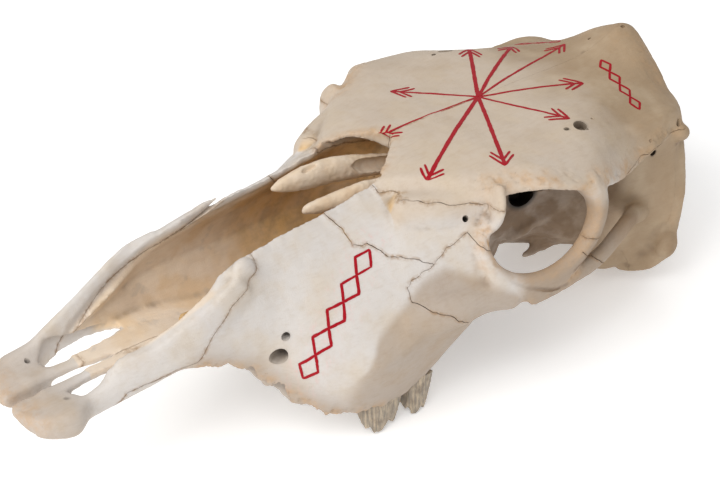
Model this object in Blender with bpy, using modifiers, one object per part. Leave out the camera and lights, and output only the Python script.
"""A cow's skull without its lower jaw, life size, lying on its cheek teeth and the back of its base.

The skull is modelled in millimetres in its own frame: x to the animal's left, y back from the
muzzle and z up, with the palate level. An empty then tips it on to the floor, as it lies at rest.
"""

import math

import bmesh
import bpy
import numpy as np
from mathutils import Matrix, Vector

MM = 0.001
GAP = 0.3                 # clear space in each suture
REST_PITCH = 12.55        # degrees that the muzzle tips up when the skull lies at rest
FLOOR_TRIM = 1.6          # depth of the small flats that the skull rests on
FLOOR_SIZE = 1.2          # in metres, of the block that trims them

# Open notch between the frontal bones: its apex, its front, its half-width, the depth it is cut from
NOTCH_Y = 274.0
NOTCH_FRONT_Y = 240.0
NOTCH_HALF = 27.0
NOTCH_APEX_HALF = 9.0
NOTCH_HEIGHTS = (112, 200)

# Long opening in each incisive bone: its ends, its distance from the midline, its half-width
FISSURE_FRONT_Y = 43.0
FISSURE_BACK_Y = 103.0
FISSURE_X = 16.5
FISSURE_HALF = 5.5
FISSURE_HEIGHTS = (8, 75)

# The left rim of the nose is lower than the right one: line (y, z) above which it is cut away, and span in x
LEFT_RIM = (
    (64, 52), (73, 57.5), (85, 61.5), (93, 66.5), (104, 75), (110, 80), (122, 89), (130, 100), (130, 140), (64, 140),
)
LEFT_RIM_SPAN = (12, 60)

# Fineness of the fused bone before it is parted
VOXEL = 2.7
FINE_VOXEL = 2.3
BONE_TRIANGLES = 6200

# How the ends of a bar are rounded: share of its section, and push along it in half-widths
END_SHARE = 0.45
END_PUSH = 0.55

# Facial half-sections: y, palate z, alveolus inner x, outer x and z, widest x and z,
# side wall x and z, upper rim x and z
FACE = (
    (72, 36, 20, 27, 33, 33, 38, 32, 48, 30, 58),
    (100, 41, 24, 33, 41, 41, 50, 38, 62, 34, 78),
    (115, 43, 26, 38, 43, 44, 52, 41, 68, 34, 90),
    (135, 42, 28, 42, 41, 47, 52, 42, 78, 33, 101),
    (152, 40, 33, 45, 32, 50, 50, 45, 78, 31, 107),
    (165, 38, 38, 50, 21, 55, 47, 48, 76, 30, 111),
    (190, 36, 41, 62, 5, 72, 43, 56, 82, 30, 118),
    (211, 35, 43, 67, 0, 85, 42, 60, 90, 30, 124),
    (230, 35, 44, 69, 0, 89, 50, 63, 98, 30, 131),
    (250, 35, 46, 68, 2, 90, 62, 65, 111, 31, 137),
    (270, 37, 46, 66, 8, 93, 70, 72, 116, 38, 140),
    (290, 40, 44, 60, 20, 96, 78, 81, 119, 50, 143),
)

# Open nasal trough: y, floor z, half-width at the floor, at mid height and at the top.
# In front of the notch it is open above, and behind it the roof stays on, this thick.
TROUGH_OPEN = 60.0
TROUGH_ROOF = 8.0
TROUGH_RIM = 4.0
TROUGH = (
    (66, 41, 20, 22, 24),
    (96, 47, 26, 29, 29),
    (115, 49, 28, 33, 29),
    (150, 46, 27, 35, 26),
    (190, 44, 26, 38, 25),
    (230, 44, 26, 40, 25),
    (262, 48, 24, 38, 26),
    (284, 62, 18, 28, 22),
)

# Roof of the skull: y, half-width, z at the middle, z at six tenths of the width, z at the edge
ROOF = (
    (242, 34, 140, 138, 134),
    (258, 50, 147, 145, 137),
    (273, 66, 151, 149, 138),
    (290, 80, 155, 152, 143),
    (305, 88, 158, 156, 148),
    (320, 98, 160, 158, 152),
    (349, 104, 165, 164, 149),
    (368, 102, 169, 168, 147),
    (393, 91, 173, 170, 142),
    (415, 83, 177, 170, 143),
    (435, 80, 182, 170, 152),
    (450, 74, 190, 171, 155),
    (463, 67, 198, 172, 155),
    (474, 60, 198, 170, 152),
    (482, 46, 191, 168, 154),
    (488, 24, 181, 172, 162),
)
ROOF_DEPTH = 18.0
ROOF_EDGE_DEPTH = 8.0

# Core of the skull: y, bottom half-width and z, low corner x and z, side x and z, top half-width and z
CORE = (
    (284, 20, 62, 38, 76, 42, 105, 42, 138),
    (320, 16, 61, 33, 77, 37, 105, 46, 146),
    (350, 15, 59, 33, 78, 38, 105, 50, 150),
    (375, 15, 58, 36, 77, 44, 105, 58, 154),
    (400, 17, 56, 46, 71, 56, 105, 68, 158),
    (425, 20, 54, 58, 66, 67, 105, 72, 162),
    (450, 22, 52, 66, 62, 73, 105, 70, 166),
    (468, 24, 50, 70, 62, 77, 105, 62, 164),
    (480, 24, 50, 54, 62, 64, 105, 46, 164),
)

# Front plate of the incisive bone: y, inner x, outer x, lower z, upper z
INCISIVE = (
    (12, 4, 22, 22, 29),
    (16, 3, 32, 19, 31),
    (22, 3, 37, 18, 33),
    (30, 3, 40, 18, 35),
    (38, 4, 40.5, 19, 36),
    (46, 6, 35, 22, 36),
)

# Bars and ridges as swept tubes: x, y, z, half-width across, half-height
INCISIVE_BAR_LEFT = (
    (30, 34, 27, 9, 7), (26.5, 50, 29, 6, 7.5), (27, 62, 34, 5.5, 9), (31, 80, 45, 5, 12),
    (35, 97, 56, 4.5, 14), (39, 116, 68, 4, 15),
)
INCISIVE_BAR_RIGHT = (
    (31, 30, 28, 9, 8), (29, 48, 34, 6.5, 11), (29, 62, 43, 5.5, 14), (31, 78, 52, 5, 16),
    (34, 97, 63, 4.5, 18), (37, 116, 75, 4, 18),
)
PALATINE_PROCESS = ((8, 30, 31, 4.5, 4), (7, 60, 35, 4.2, 3.5), (6.5, 92, 41, 3.8, 3.2), (6, 128, 45, 3.4, 3))
ORBIT_RING = (
    (76, 298, 142, 6, 6), (78, 289, 128, 6, 6), (84, 285, 110, 6, 6), (91, 289, 95, 6, 7),
    (97, 299, 86, 6, 9), (101, 314, 83, 6, 10), (104, 329, 87, 6, 9), (105, 343, 96, 6, 7),
    (105, 354, 109, 6.5, 5), (103, 360, 123, 7, 5), (100, 359, 137, 8, 7), (95, 351, 147, 9, 8),
)
MALAR = ((80, 236, 62, 6, 10), (88, 262, 70, 7, 12), (94, 285, 77, 7, 9), (100, 304, 77, 6, 7))
ARCH = (
    (102, 316, 76, 4.5, 7), (104, 345, 84, 4, 7), (101, 372, 91, 4, 7.5), (93, 396, 99, 4.5, 8),
    (83, 416, 101, 6, 8), (70, 440, 96, 8, 8),
)
NUCHAL_CREST = (
    (55, 474, 146, 6, 6), (64, 472, 130, 6, 6), (71, 472, 108, 6, 6), (73, 471, 84, 6, 6), (74, 468, 64, 7, 7),
)
PARACONDYLAR = ((62, 456, 78, 6, 16), (60, 463, 60, 5, 15), (56, 470, 45, 4.5, 9))
POLL_RIDGE = ((0, 476, 186, 8, 8), (26, 474, 172, 7, 7), (44, 471, 158, 7, 7), (60, 468, 146, 6, 6))
PALATINE_WALL = ((38, 284, 55, 5, 22), (33, 315, 58, 3.2, 20), (29, 342, 63, 2.6, 14), (27, 356, 72, 2.4, 8))
HOOK = ((30, 408, 72, 3, 12), (30, 397, 64, 2.6, 10), (31, 384, 58, 2.2, 4.5), (31.5, 378, 57, 2, 2.5))

# Rounded swellings: centre, then half sizes
CONDYLE = ((23, 484, 50), (13, 14, 19))
BULLA = ((48, 443, 58), (12, 22, 16))
MASTOID = ((77, 466, 69), (8, 9, 11))
MAXILLARY_TUBER = ((53, 278, 34), (13, 20, 24))
FORAMEN_MAGNUM = (0, 488, 68, 14.5)     # centre, then radius

# Cheek teeth that are left in the jaw: name, y, length along the row, tip z
TEETH = (("second_molar", 241, 28, -20.1), ("third_molar", 269, 18, -14.8))
TOOTH_X = 61.0
TOOTH_HALF_WIDTH = 8.5
TOOTH_ROOT_Z = 16.0

# Scrolls of thin bone in the nasal cavity: x, y, z, half-width, half-height
TURBINATES = {
    "turbinate_right": ((-9, 192, 116, 2, 2.5), (-7, 212, 119, 5, 6.5), (-6, 240, 122, 5, 7.5), (-6, 290, 122, 5, 8)),
    "turbinate_left": ((12, 196, 112, 2, 2.5), (14, 214, 115, 5, 6), (15, 238, 118, 5, 7.5), (14, 290, 118, 5, 8)),
}
VOMER = ((0, 128, 53, 2, 4), (0, 170, 55, 2, 9), (0, 220, 60, 2.2, 15), (0, 300, 70, 2.5, 22))

# Sutures, as lines seen from the side (y, z) or from above (x, y)
INCISIVE_SUTURE = ((58, 14), (71, 36), (112, 50), (152, 99), (150, 130))
LACRIMAL_SUTURE = (
    (196, 136), (204, 122), (210, 115), (214, 107), (223, 108), (231, 103), (245, 101), (257, 99), (265, 108),
    (278, 115), (286, 107), (312, 111),
)
ZYGOMATIC_AREA = (
    (257, 99), (246, 92), (238, 86), (240, 78), (256, 72), (275, 64), (292, 56), (304, 40), (312, 40), (312, 111),
    (286, 107), (278, 115), (265, 108),
)
ARCH_SUTURE = ((346, 104), (396, 76))
FRONTAL_SUTURE = (
    (233, 144), (240, 131), (250, 133), (262, 133), (285, 134), (300, 137), (332, 134), (340, 112), (376, 112),
    (390, 132), (400, 138), (440, 149), (478, 157), (510, 170),
)
FACE_BACK = ((-58, 304), (-40, 282), (40, 282), (58, 304))
FACE_BACK_TOP = 137.0
PALATINE_SUTURE = ((280, 57), (347, 57), (347, 20))
TEMPORAL_X = 60.0
TEMPORAL_FRONT_Y = 392.0
OCCIPITAL_Y = 465.0
OCCIPITAL_TOP = 155.5
MIDLINE_FRONT = ((-10, -60), (310, -60), (310, 57), (283, 57), (283, 133))
MIDLINE_BACK = ((510, 230), (-10, 230))
TEMPORAL_AREA = ((TEMPORAL_FRONT_Y, -10), (TEMPORAL_FRONT_Y, 134), (400, 139), (440, 150), (466, 155), (466, -10))

# How far each suture is cut: inner and outer x of those on the sides, half-width of those right across
ACROSS_JAW = 80
ACROSS_PALATE = 70
ACROSS_SKULL = 130
LACRIMAL_INNER = 24
ZYGOMATIC_INNER = 50
ARCH_INNER = 84

# A point inside each bone, which names it
BONES = {
    "incisive": ((30, 30, 27), "upper_jaw_bone"),
    "maxilla": ((60, 200, 40), "upper_jaw_bone"),
    "lacrimal": ((60, 262, 118), "upper_jaw_bone"),
    "zygomatic": ((103, 315, 77), "forehead_bone"),
    "frontal": ((60, 330, 155), "forehead_bone"),
    "palatine": ((33, 315, 50), "rear_bone"),
    "temporal": ((74, 440, 100), "rear_bone"),
}
LARGE_PIECES = 24         # pieces that are large enough to be a bone
SINGLE_BONES = {
    "braincase": ((0, 400, 100), "rear_bone"),
    "occipital": ((0, 474, 120), "rear_bone"),
}

# Colour and roughness of each material
COLOURS = {
    "upper_jaw_bone": (0.74, 0.70, 0.66, 0.55),
    "forehead_bone": (0.72, 0.62, 0.50, 0.6),
    "rear_bone": (0.60, 0.50, 0.38, 0.65),
    "inner_bone": (0.52, 0.38, 0.22, 0.7),
    "tooth_enamel": (0.66, 0.55, 0.38, 0.35),
}


def material(slot):
    """One Principled material from its named colour and roughness."""
    found = bpy.data.materials.get(slot)
    if found:
        return found
    made = bpy.data.materials.new(slot)
    made.use_nodes = True
    shader = made.node_tree.nodes["Principled BSDF"]
    red, green, blue, roughness = COLOURS[slot]
    shader.inputs["Base Color"].default_value = (red, green, blue, 1.0)
    shader.inputs["Roughness"].default_value = roughness
    shader.inputs["Metallic"].default_value = 0.0
    return made


def smooth_rows(rows, steps):
    """Rows of named sizes, filled in with a Catmull-Rom curve through them."""
    rows = np.array(rows, dtype=float)
    padded = np.vstack([2 * rows[0] - rows[1], rows, 2 * rows[-1] - rows[-2]])
    out = []
    for i in range(1, len(rows)):
        a, b, c, d = padded[i - 1:i + 3]
        for t in np.linspace(0, 1, steps, endpoint=False):
            out.append(0.5 * (2 * b + (c - a) * t + (2 * a - 5 * b + 4 * c - d) * t ** 2
                              + (3 * b - a - 3 * c + d) * t ** 3))
    out.append(rows[-1])
    return np.array(out)


def new_object(name, bm, collection):
    """A mesh object in metres from a bmesh in millimetres."""
    bmesh.ops.recalc_face_normals(bm, faces=bm.faces)
    mesh = bpy.data.meshes.new(name)
    bmesh.ops.scale(bm, vec=(MM, MM, MM), verts=bm.verts)
    bm.to_mesh(mesh)
    bm.free()
    obj = bpy.data.objects.new(name, mesh)
    collection.objects.link(obj)
    return obj


def loft(name, rings, collection):
    """A closed body through rings of equal count, with capped ends."""
    bm = bmesh.new()
    loops = [[bm.verts.new(point) for point in ring] for ring in rings]
    for low, high in zip(loops, loops[1:]):
        for i in range(len(low)):
            j = (i + 1) % len(low)
            bm.faces.new((low[i], low[j], high[j], high[i]))
    bm.faces.new(list(reversed(loops[0])))
    bm.faces.new(loops[-1])
    return new_object(name, bm, collection)


def both_sides(half):
    """A closed section from its left half, which runs from the midline round to the midline."""
    return half + [(-x, y, z) for x, y, z in reversed(half[1:-1])]


def swept(rows, side, steps):
    """Centres, unit directions and half sizes along a path, on the side that is asked for."""
    path = smooth_rows(rows, steps)
    centres = path[:, :3] * (side, 1, 1)
    ahead = np.gradient(centres, axis=0)
    ahead /= np.linalg.norm(ahead, axis=1)[:, None]
    return centres, ahead, path[:, 3:5]


def oval(centre, across, up, size, sides):
    """Points round an oval section."""
    angles = np.linspace(0, 2 * math.pi, sides, endpoint=False)
    return [centre + across * size[0] * math.cos(a) + up * size[1] * math.sin(a) for a in angles]


def tube(name, rows, collection, side=1, sides=14, steps=5):
    """A bar swept along its rows, with an upright oval section and rounded ends."""
    centres, ahead, sizes = swept(rows, side, steps)
    rings = []
    for centre, along, size in zip(centres, ahead, sizes):
        upright = abs(along[2]) >= 0.9
        across = np.array((1.0, 0, 0)) if upright else np.cross(along, (0, 0, 1))
        across /= np.linalg.norm(across)
        up = np.cross(across, along)
        if up[2] < 0 and not upright:
            up = -up
        rings.append(oval(centre, across, up, size, sides))
    first = [centres[0] + (p - centres[0]) * END_SHARE - ahead[0] * sizes[0, 0] * END_PUSH for p in rings[0]]
    last = [centres[-1] + (p - centres[-1]) * END_SHARE + ahead[-1] * sizes[-1, 0] * END_PUSH for p in rings[-1]]
    return loft(name, [first] + rings + [last], collection)


def ring_band(name, rows, collection, side):
    """A band whose section keeps one axis across the skull and one square to it and to the path."""
    rings = []
    for centre, along, size in zip(*swept(rows, side, 5)):
        across = np.array((1.0, 0, 0)) - along * along[0]
        across /= np.linalg.norm(across)
        rings.append(oval(centre, across, np.cross(along, across), size, 14))
    return loft(name, rings, collection)


def blob(name, centre, sizes, collection, side=1):
    """A rounded swelling."""
    bm = bmesh.new()
    bmesh.ops.create_uvsphere(bm, u_segments=18, v_segments=12, radius=1.0)
    bmesh.ops.scale(bm, vec=sizes, verts=bm.verts)
    bmesh.ops.translate(bm, vec=(centre[0] * side, centre[1], centre[2]), verts=bm.verts)
    return new_object(name, bm, collection)


def face_form(collection):
    """The upper jaw and the sides of the nose, still closed above."""
    rings = []
    for y, palate, inner, outer, low, wide_x, wide_z, wall_x, wall_z, rim_x, rim_z in smooth_rows(FACE, 5):
        half = [(0, y, palate), (inner - 4, y, palate), (inner, y, low), (outer, y, low),
                (wide_x, y, wide_z), ((wide_x + wall_x) / 2, y, (wide_z + wall_z) / 2),
                (wall_x, y, wall_z), (rim_x, y, rim_z), (0, y, rim_z + 2)]
        rings.append(both_sides(half))
    return loft("face", rings, collection)


def roof_form(collection):
    """The forehead and the poll: a broad plate that thins to its overhanging edge."""
    rings = []
    for y, half_width, mid, shoulder, edge in smooth_rows(ROOF, 4):
        half = [(0, y, mid - ROOF_DEPTH), (0.6 * half_width, y, shoulder - ROOF_DEPTH),
                (half_width - 3, y, edge - ROOF_EDGE_DEPTH), (half_width, y, edge - 0.5 * ROOF_EDGE_DEPTH),
                (half_width - 2, y, edge), (0.85 * half_width, y, 0.5 * (edge + shoulder) + 2),
                (0.6 * half_width, y, shoulder), (0.3 * half_width, y, 0.35 * shoulder + 0.65 * mid),
                (0, y, mid)]
        rings.append(both_sides(half))
    return loft("roof", rings, collection)


def core_form(collection):
    """The braincase and the walls of the orbits and temporal hollows."""
    rings = []
    for y, base_x, base_z, low_x, low_z, side_x, side_z, top_x, top_z in smooth_rows(CORE, 4):
        half = [(0, y, base_z), (base_x, y, base_z), (low_x, y, low_z), (side_x, y, side_z),
                (0.5 * (side_x + top_x) - 1, y, 0.5 * (side_z + top_z)), (top_x, y, top_z), (0, y, top_z)]
        rings.append(both_sides(half))
    return loft("core", rings, collection)


def incisive_plate(collection, side):
    """The flat front end of one incisive bone."""
    rings = []
    for y, inner, outer, low, high in smooth_rows(INCISIVE, 4):
        mid = 0.5 * (low + high)
        rings.append([(side * x, y, z) for x, z in (
            (inner, mid - 2), (inner + 2, low), (outer - 4, low), (outer, mid - 1),
            (outer - 1.5, mid + 3), (outer - 5, high), (inner + 6, high - 2), (inner, mid + 3))])
    return loft("incisive_plate", rings, collection)


def trough_form(collection):
    """The open nasal trough, as the space to cut away."""
    rings = []
    for y, floor, floor_x, mid_x, top_x in smooth_rows(TROUGH, 4):
        rim = np.interp(y, [row[0] for row in FACE], [row[-1] for row in FACE])
        roof = np.interp(y, [row[0] for row in ROOF], [row[2] for row in ROOF]) - TROUGH_ROOF
        top = rim + TROUGH_OPEN if y < NOTCH_FRONT_Y + 2 else min(rim, roof) - TROUGH_RIM
        half = [(0, y, floor), (floor_x, y, floor + 2), (mid_x, y, 0.55 * floor + 0.45 * rim),
                (top_x, y, min(rim, top) - TROUGH_RIM), (top_x, y, top), (0, y, top)]
        rings.append(both_sides(half))
    return loft("trough", rings, collection)


def notch_form(collection):
    """The open notch between the two frontal bones."""
    half, apex = NOTCH_HALF, NOTCH_APEX_HALF
    outline = [(-half, NOTCH_FRONT_Y - 4), (half, NOTCH_FRONT_Y - 4), (half - 3, NOTCH_FRONT_Y + 8),
               (apex, NOTCH_Y - 8), (0, NOTCH_Y), (-apex, NOTCH_Y - 8), (-half + 3, NOTCH_FRONT_Y + 8)]
    return loft("notch", [[(x, y, z) for x, y in outline] for z in NOTCH_HEIGHTS], collection)


def fissure_form(collection, side):
    """The long opening between the bar and the palatine process of one incisive bone."""
    half = 0.5 * (FISSURE_BACK_Y - FISSURE_FRONT_Y)
    rim = []
    for angle in np.linspace(0, 2 * math.pi, 20, endpoint=False):
        y = FISSURE_FRONT_Y + half + half * math.cos(angle)
        rim.append((side * (FISSURE_X + FISSURE_HALF * math.sin(angle)), y))
    return loft("fissure", [[(x, y, z) for x, y in rim] for z in FISSURE_HEIGHTS], collection)


def blade(name, line, axis, low, high, collection):
    """A thin wall along a line, square to the given axis, that parts two bones."""
    line = np.array(line, dtype=float)
    ahead = np.gradient(line, axis=0)
    ahead /= np.linalg.norm(ahead, axis=1)[:, None]
    aside = np.stack([-ahead[:, 1], ahead[:, 0]], axis=1) * (0.5 * GAP)
    outline = np.vstack([line + aside, (line - aside)[::-1]])
    return slab(name, outline, axis, low, high, collection)


def slab(name, outline, axis, low, high, collection):
    """A flat outline carried along one axis from low to high."""
    rings = []
    for depth in (low, high):
        if axis == "x":
            rings.append([(depth, y, z) for y, z in outline])
        else:
            rings.append([(x, y, depth) for x, y in outline])
    return loft(name, rings, collection)


def fuse(objects, name, voxel, smoothing, collection):
    """One closed skin round overlapping forms, softened as bone is."""
    bm = bmesh.new()
    for obj in objects:
        bm.from_mesh(obj.data)
    mesh = bpy.data.meshes.new(name)
    bm.to_mesh(mesh)
    bm.free()
    for obj in objects:
        bpy.data.objects.remove(obj)
    fused = bpy.data.objects.new(name, mesh)
    collection.objects.link(fused)
    remesh = fused.modifiers.new("skin", "REMESH")
    remesh.mode = "VOXEL"
    remesh.voxel_size = voxel * MM
    smooth = fused.modifiers.new("soften", "SMOOTH")
    smooth.factor = 0.5
    smooth.iterations = smoothing
    return settle(fused)


def settle(obj):
    """The object's mesh with its modifiers applied and only its largest closed surface kept."""
    graph = bpy.context.evaluated_depsgraph_get()
    mesh = bpy.data.meshes.new_from_object(obj.evaluated_get(graph))
    obj.modifiers.clear()
    obj.data = mesh
    keep_largest(obj)
    return obj


def keep_largest(obj):
    """Drops every closed surface but the largest."""
    bm = bmesh.new()
    bm.from_mesh(obj.data)
    bm.verts.ensure_lookup_table()
    unseen = set(bm.verts)
    groups = []
    while unseen:
        stack = [unseen.pop()]
        group = list(stack)
        while stack:
            for edge in stack.pop().link_edges:
                for vert in edge.verts:
                    if vert in unseen:
                        unseen.remove(vert)
                        stack.append(vert)
                        group.append(vert)
        groups.append(group)
    groups.sort(key=extent, reverse=True)
    for group in groups[1:]:
        bmesh.ops.delete(bm, geom=group, context="VERTS")
    bmesh.ops.triangulate(bm, faces=bm.faces)
    bm.to_mesh(obj.data)
    bm.free()


def extent(group):
    """Diagonal of a group of vertices."""
    points = np.array([vert.co[:] for vert in group])
    return float(np.linalg.norm(points.max(axis=0) - points.min(axis=0)))


def cut_out(obj, other):
    """Takes one closed body out of another, and keeps all that is left."""
    cut = obj.modifiers.new("cut", "BOOLEAN")
    cut.object = other
    cut.operation = "DIFFERENCE"
    cut.solver = "EXACT"
    graph = bpy.context.evaluated_depsgraph_get()
    mesh = bpy.data.meshes.new_from_object(obj.evaluated_get(graph))
    obj.modifiers.clear()
    obj.data = mesh


def cut_all(obj, cutter_objects):
    """Takes every cutter out of the object, hides the cutters, and keeps all that is left."""
    for cutter in cutter_objects:
        cutter.display_type = "WIRE"
        cutter.hide_render = True
        cut_out(obj, cutter)


def build_bone(parts, cutters):
    """The whole skull as one bone, before it is parted along its sutures."""
    forms = [face_form(parts), roof_form(parts), core_form(parts)]
    for side in (1, -1):
        forms.append(incisive_plate(parts, side))
        bar = INCISIVE_BAR_LEFT if side > 0 else INCISIVE_BAR_RIGHT
        for name, rows in (("incisive_bar", bar), ("palatine_process", PALATINE_PROCESS), ("malar", MALAR),
                           ("arch", ARCH), ("palatine_wall", PALATINE_WALL), ("hook", HOOK)):
            forms.append(tube(name, rows, parts, side))
        for name, rows in (("orbit_ring", ORBIT_RING), ("nuchal_crest", NUCHAL_CREST),
                           ("paracondylar", PARACONDYLAR), ("poll_ridge", POLL_RIDGE)):
            forms.append(ring_band(name, rows, parts, side))
        for name, (centre, sizes) in (("condyle", CONDYLE), ("bulla", BULLA), ("mastoid", MASTOID),
                                      ("maxillary_tuber", MAXILLARY_TUBER)):
            forms.append(blob(name, centre, sizes, parts, side))
    bone = fuse(forms, "bone", VOXEL, 3, parts)
    hollows = [trough_form(cutters), notch_form(cutters), fissure_form(cutters, 1), fissure_form(cutters, -1)]
    x, y, z, radius = FORAMEN_MAGNUM
    hollows.append(blob("foramen_magnum", (x, y, z), (radius, 26, radius + 2), cutters))
    hollows.append(slab("left_rim", LEFT_RIM, "x", *LEFT_RIM_SPAN, cutters))
    cut_all(bone, hollows)
    keep_largest(bone)
    bone = fuse([bone], "bone", FINE_VOXEL, 2, parts)
    thin = bone.modifiers.new("thin", "DECIMATE")
    thin.ratio = BONE_TRIANGLES / max(BONE_TRIANGLES, len(bone.data.polygons))
    return settle(bone)


def islands(obj):
    """The separate closed surfaces of an object, each as a list of faces and its points."""
    bm = bmesh.new()
    bm.from_mesh(obj.data)
    unseen = set(bm.faces)
    found = []
    while unseen:
        stack = [unseen.pop()]
        group = list(stack)
        while stack:
            for edge in stack.pop().edges:
                for face in edge.link_faces:
                    if face in unseen:
                        unseen.remove(face)
                        stack.append(face)
                        group.append(face)
        verts = {vert for face in group for vert in face.verts}
        order = {vert: i for i, vert in enumerate(verts)}
        found.append(([vert.co[:] for vert in order], [[order[vert] for vert in face.verts] for face in group]))
    bm.free()
    return found


def suture_blades(cutters):
    """Every thin cut between two bones, in the order in which they are made."""
    half = 0.5 * GAP
    under_frontal = [(y, z - 1) for y, z in FRONTAL_SUTURE if y >= 285]
    midline = [*MIDLINE_FRONT, *under_frontal, *MIDLINE_BACK]
    occipital = [(-ACROSS_SKULL, OCCIPITAL_Y), (ACROSS_SKULL, OCCIPITAL_Y)]
    cuts = [slab("suture_midline", midline, "x", -half, half, cutters),
            blade("suture_incisive", INCISIVE_SUTURE, "x", -ACROSS_JAW, ACROSS_JAW, cutters),
            blade("suture_frontal", FRONTAL_SUTURE, "x", -ACROSS_SKULL, ACROSS_SKULL, cutters),
            blade("suture_palatine", PALATINE_SUTURE, "x", -ACROSS_PALATE, ACROSS_PALATE, cutters),
            blade("suture_face_back", FACE_BACK, "z", -60, FACE_BACK_TOP, cutters),
            blade("suture_occipital", occipital, "z", -10, OCCIPITAL_TOP, cutters)]
    for side in (1, -1):
        for name, line, inner in (("suture_lacrimal", LACRIMAL_SUTURE, LACRIMAL_INNER),
                                  ("suture_zygomatic", ZYGOMATIC_AREA[:8], ZYGOMATIC_INNER),
                                  ("suture_arch", ARCH_SUTURE, ARCH_INNER)):
            near, far = sorted((inner * side, ACROSS_SKULL * side))
            cuts.append(blade(name, line, "x", near, far, cutters))
        for name, area, x in (("suture_zygomatic_inner", ZYGOMATIC_AREA, ZYGOMATIC_INNER),
                              ("suture_temporal", TEMPORAL_AREA, TEMPORAL_X)):
            cuts.append(slab(name, area, "x", x * side - half, x * side + half, cutters))
    return cuts


def named_bones():
    """Name, inner point and material of each bone, both sides."""
    for name, (point, slot) in BONES.items():
        for side, word in ((1, "left"), (-1, "right")):
            yield f"{name}_{word}", (point[0] * side, point[1], point[2]), slot
    for name, (point, slot) in SINGLE_BONES.items():
        yield name, point, slot


def part_bones(bone, parts, cutters):
    """Parts the fused bone along its sutures into one object for each bone."""
    cut_all(bone, suture_blades(cutters))
    pieces = sorted(islands(bone), key=lambda piece: len(piece[1]), reverse=True)[:LARGE_PIECES]
    bpy.data.objects.remove(bone)
    bones = []
    for name, point, slot in named_bones():
        seed = np.array(point) * MM
        nearest = min(pieces, key=lambda piece: np.min(np.linalg.norm(np.array(piece[0]) - seed, axis=1)))
        mesh = bpy.data.meshes.new(name)
        mesh.from_pydata(nearest[0], [], nearest[1])
        mesh.materials.append(material(slot))
        obj = bpy.data.objects.new(name, mesh)
        parts.objects.link(obj)
        bones.append(obj)
    return bones


def tooth(name, y, length, tip_z, side, collection):
    """One worn cheek tooth: a block that narrows a little to its uneven chewing face."""
    rings = []
    for z, spread in ((TOOTH_ROOT_Z, 0.94), (0.5 * TOOTH_ROOT_Z, 1.0), (0.5 * tip_z, 0.97), (tip_z, 0.86)):
        ring = []
        for angle in np.linspace(0, 2 * math.pi, 20, endpoint=False):
            along, across = math.cos(angle), math.sin(angle)
            lobes = 1 - 0.13 * math.cos(2 * angle) ** 2 * abs(across)
            x = TOOTH_X + TOOTH_HALF_WIDTH * spread * np.sign(across) * abs(across) ** 0.6 * lobes
            ring.append((side * x, y + 0.5 * length * spread * np.sign(along) * abs(along) ** 0.6, z))
        rings.append(ring)
    return loft(name, rings, collection)


def fit_to(obj, bone, shift, slot):
    """Cuts a piece to the bone that holds it, and moves it clear by the gap."""
    cut_out(obj, bone)
    keep_largest(obj)
    obj.data.transform(Matrix.Translation(Vector(shift) * MM))
    obj.data.materials.clear()
    obj.data.materials.append(material(slot))
    return obj


def loose_pieces(bone, parts):
    """The cheek teeth, the scrolls of the nose and the vomer."""
    pieces = []
    for side, word in ((1, "left"), (-1, "right")):
        for name, y, length, tip_z in TEETH:
            made = tooth(f"{name}_{word}", y, length, tip_z, side, parts)
            pieces.append(fit_to(made, bone, (0, 0, -GAP), "tooth_enamel"))
    for name, rows in TURBINATES.items():
        pieces.append(fit_to(tube(name, rows, parts, sides=10, steps=3), bone, (0, -GAP, 0), "inner_bone"))
    pieces.append(fit_to(tube("vomer", VOMER, parts, sides=10, steps=3), bone, (0, -GAP, GAP), "inner_bone"))
    return pieces


def rest_matrix():
    """Tips the skull frame about the x axis on to its cheek teeth and the back of its base."""
    return Matrix.Rotation(-math.radians(REST_PITCH), 4, "X")


def trim_floor(bone_and_teeth, cutters):
    """Small flats at one level, where the skull rests."""
    lowest = min((rest_matrix() @ vert.co).z for obj in bone_and_teeth for vert in obj.data.vertices)
    bm = bmesh.new()
    bmesh.ops.create_cube(bm, size=FLOOR_SIZE)
    bmesh.ops.translate(bm, vec=(0, 0.25, lowest + FLOOR_TRIM * MM - 0.5 * FLOOR_SIZE), verts=bm.verts)
    bmesh.ops.transform(bm, matrix=rest_matrix().inverted(), verts=bm.verts)
    bmesh.ops.scale(bm, vec=(1 / MM, 1 / MM, 1 / MM), verts=bm.verts)
    floor = new_object("floor", bm, cutters)
    for obj in bone_and_teeth:
        if min((rest_matrix() @ vert.co).z for vert in obj.data.vertices) < lowest + FLOOR_TRIM * MM:
            cut_all(obj, [floor])
            keep_largest(obj)


def set_at_rest(pieces, parts):
    """Hangs every piece on one empty that lays the skull down with its box centred on the origin."""
    points = np.array([(rest_matrix() @ vert.co)[:] for obj in pieces for vert in obj.data.vertices])
    low, high = points.min(axis=0), points.max(axis=0)
    stand = bpy.data.objects.new("rest_pose", None)
    stand.rotation_euler = (-math.radians(REST_PITCH), 0, 0)
    stand.location = (-0.5 * (low[0] + high[0]), -0.5 * (low[1] + high[1]), -low[2])
    parts.objects.link(stand)
    for obj in pieces:
        obj.parent = stand


def main():
    for obj in list(bpy.data.objects):
        bpy.data.objects.remove(obj)
    parts = bpy.data.collections.new("cow_skull")
    cutters = bpy.data.collections.new("cutters")
    for collection in (parts, cutters):
        bpy.context.scene.collection.children.link(collection)
    bone = build_bone(parts, cutters)
    loose = loose_pieces(bone, parts)
    pieces = part_bones(bone, parts, cutters) + loose
    trim_floor(pieces, cutters)
    set_at_rest(pieces, parts)
    bpy.context.view_layer.update()


main()
